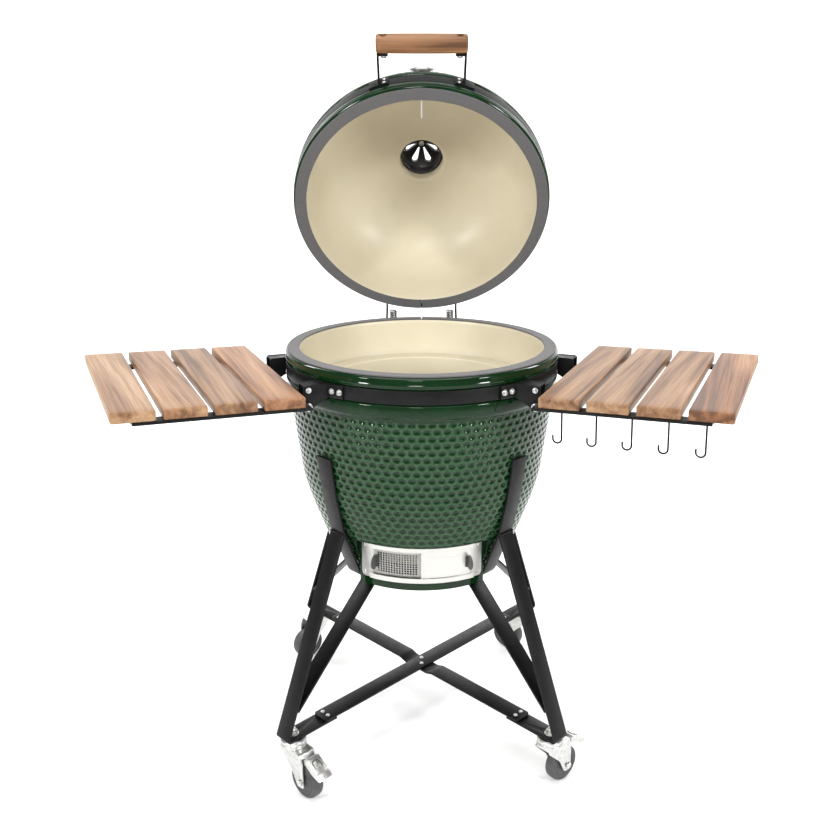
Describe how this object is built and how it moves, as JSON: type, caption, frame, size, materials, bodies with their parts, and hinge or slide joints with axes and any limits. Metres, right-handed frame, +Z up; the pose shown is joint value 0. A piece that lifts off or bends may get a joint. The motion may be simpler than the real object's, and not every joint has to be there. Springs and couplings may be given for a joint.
{
  "type": "ceramic kamado charcoal grill",
  "caption": "Ceramic charcoal grill on a wheeled flat-bar stand: hinged dome lid with top vent, sliding draft door, folding slatted side shelves.",
  "frame": {"origin": "middle of the outline on the floor under the wheels; the bowl's axis is at y = -0.0142", "axes": "+Z up, -Y towards the cook and the draft door, +X to the cook's right; the lid is stored open by 62 degrees"},
  "size_m": [1.3796, 0.8936, 1.4757],
  "materials": {
    "glaze": "deep bottle-green gloss glaze over a moulded dimple texture, bare cream clay inside",
    "ceramic": "cream unglazed fire clay",
    "felt": "dark grey heat-proof felt gasket",
    "black_steel": "satin black powder coat, fine grain",
    "cast_iron": "black cast iron",
    "wood": "oiled hardwood, laminated staves",
    "steel": "brushed stainless steel",
    "zinc": "bright zinc plated steel",
    "rubber": "dark grey solid rubber"
  },
  "bodies": {
    "grill": {"base_shell": "glaze", "base_gasket": "felt", "fire_ring": "ceramic", "fire_box": "ceramic", "charcoal_grate": "cast_iron", "base_band": "black_steel", "draft_frame": "steel", "base_hinge_bracket": "black_steel", "hinge_pin": "zinc", "hinge_spring_left": "zinc", "hinge_spring_right": "zinc", "left_front_bracket": "black_steel", "left_rear_bracket": "black_steel", "right_front_bracket": "black_steel", "right_rear_bracket": "black_steel", "left_pivot_rod": "zinc", "right_pivot_rod": "zinc", "leg_front_left": "black_steel", "leg_front_right": "black_steel", "leg_rear_left": "black_steel", "leg_rear_right": "black_steel", "cross_bar_upper": "black_steel", "cross_bar_lower": "black_steel"},
    "lid": {"lid_shell": "glaze", "lid_gasket": "felt", "lid_band": "black_steel", "lid_hinge_bracket": "black_steel", "thermometer": "steel", "handle_bracket_left": "black_steel", "handle_bracket_right": "black_steel", "handle_grip": "wood", "handle_bolt_left": "zinc", "handle_bolt_right": "zinc", "vent_collar": "cast_iron", "vent_cap": "cast_iron", "vent_screw": "zinc"},
    "damper": {"vent_damper": "cast_iron"},
    "inlet_screen": {"draft_screen": "steel"},
    "inlet_door": {"draft_door": "steel"},
    "shelf_left": {"left_shelf_frame": "black_steel", "left_slat_1": "wood", "left_slat_2": "wood", "left_slat_3": "wood", "left_slat_4": "wood"},
    "shelf_right": {"right_shelf_frame": "black_steel", "right_slat_1": "wood", "right_slat_2": "wood", "right_slat_3": "wood", "right_slat_4": "wood"},
    "caster_front_left": {"caster_fork_front_left": "zinc"},
    "wheel_front_left": {"caster_wheel_front_left": "rubber"},
    "brake_front_left": {"brake_pedal_front_left": "zinc"},
    "caster_front_right": {"caster_fork_front_right": "zinc"},
    "wheel_front_right": {"caster_wheel_front_right": "rubber"},
    "brake_front_right": {"brake_pedal_front_right": "zinc"},
    "caster_rear_left": {"caster_fork_rear_left": "zinc"},
    "wheel_rear_left": {"caster_wheel_rear_left": "rubber"},
    "caster_rear_right": {"caster_fork_rear_right": "zinc"},
    "wheel_rear_right": {"caster_wheel_rear_right": "rubber"}
  },
  "joints": [
    {"name": "lid_hinge", "type": "hinge", "parent": "grill", "child": "lid", "pos_m": [0, 0.29329, 0.844], "axis": [-1, 0, 0], "range_deg": [-62, 8]},
    {"name": "damper_turn", "type": "hinge", "parent": "lid", "child": "damper", "pos_m": [0, 0.41028, 1.25447], "axis": [0, 0.8829, 0.4695], "range_deg": [0, 30]},
    {"name": "inlet_door_slide", "type": "hinge", "parent": "grill", "child": "inlet_door", "pos_m": [0, -0.01421, 0.475], "axis": [0, 0, -1], "range_deg": [0, 24]},
    {"name": "inlet_screen_slide", "type": "hinge", "parent": "grill", "child": "inlet_screen", "pos_m": [0, -0.01421, 0.475], "axis": [0, 0, -1], "range_deg": [-24, 0]},
    {"name": "shelf_left_fold", "type": "hinge", "parent": "grill", "child": "shelf_left", "pos_m": [-0.27792, -0.0993, 0.814], "axis": [0.4042, -0.9147, 0], "range_deg": [0, 90]},
    {"name": "shelf_right_fold", "type": "hinge", "parent": "grill", "child": "shelf_right", "pos_m": [0.27792, -0.0993, 0.814], "axis": [0.4042, 0.9147, 0], "range_deg": [0, 90]},
    {"name": "swivel_front_left", "type": "hinge", "parent": "grill", "child": "caster_front_left", "pos_m": [-0.26163, -0.27584, 0.121], "axis": [0, 0, 1], "continuous": true},
    {"name": "roll_front_left", "type": "hinge", "parent": "caster_front_left", "child": "wheel_front_left", "pos_m": [-0.23271, -0.30347, 0.038], "axis": [0.6909, 0.723, 0], "continuous": true},
    {"name": "brake_front_left", "type": "hinge", "parent": "caster_front_left", "child": "brake_front_left", "pos_m": [-0.22114, -0.31453, 0.093], "axis": [0.6909, 0.723, 0], "range_deg": [0, 10]},
    {"name": "swivel_front_right", "type": "hinge", "parent": "grill", "child": "caster_front_right", "pos_m": [0.26163, -0.27584, 0.121], "axis": [0, 0, 1], "continuous": true},
    {"name": "roll_front_right", "type": "hinge", "parent": "caster_front_right", "child": "wheel_front_right", "pos_m": [0.29074, -0.24841, 0.038], "axis": [-0.6858, 0.7278, 0], "continuous": true},
    {"name": "brake_front_right", "type": "hinge", "parent": "caster_front_right", "child": "brake_front_right", "pos_m": [0.30239, -0.23743, 0.093], "axis": [-0.6858, 0.7278, 0], "range_deg": [0, 10]},
    {"name": "swivel_rear_left", "type": "hinge", "parent": "grill", "child": "caster_rear_left", "pos_m": [-0.26163, 0.24742, 0.121], "axis": [0, 0, 1], "continuous": true},
    {"name": "roll_rear_left", "type": "hinge", "parent": "caster_rear_left", "child": "wheel_rear_left", "pos_m": [-0.29249, 0.22198, 0.038], "axis": [0.6361, -0.7716, 0], "continuous": true},
    {"name": "swivel_rear_right", "type": "hinge", "parent": "grill", "child": "caster_rear_right", "pos_m": [0.26163, 0.24742, 0.121], "axis": [0, 0, 1], "continuous": true},
    {"name": "roll_rear_right", "type": "hinge", "parent": "caster_rear_right", "child": "wheel_rear_right", "pos_m": [0.22786, 0.26885, 0.038], "axis": [-0.5358, -0.8443, 0], "continuous": true}
  ]
}
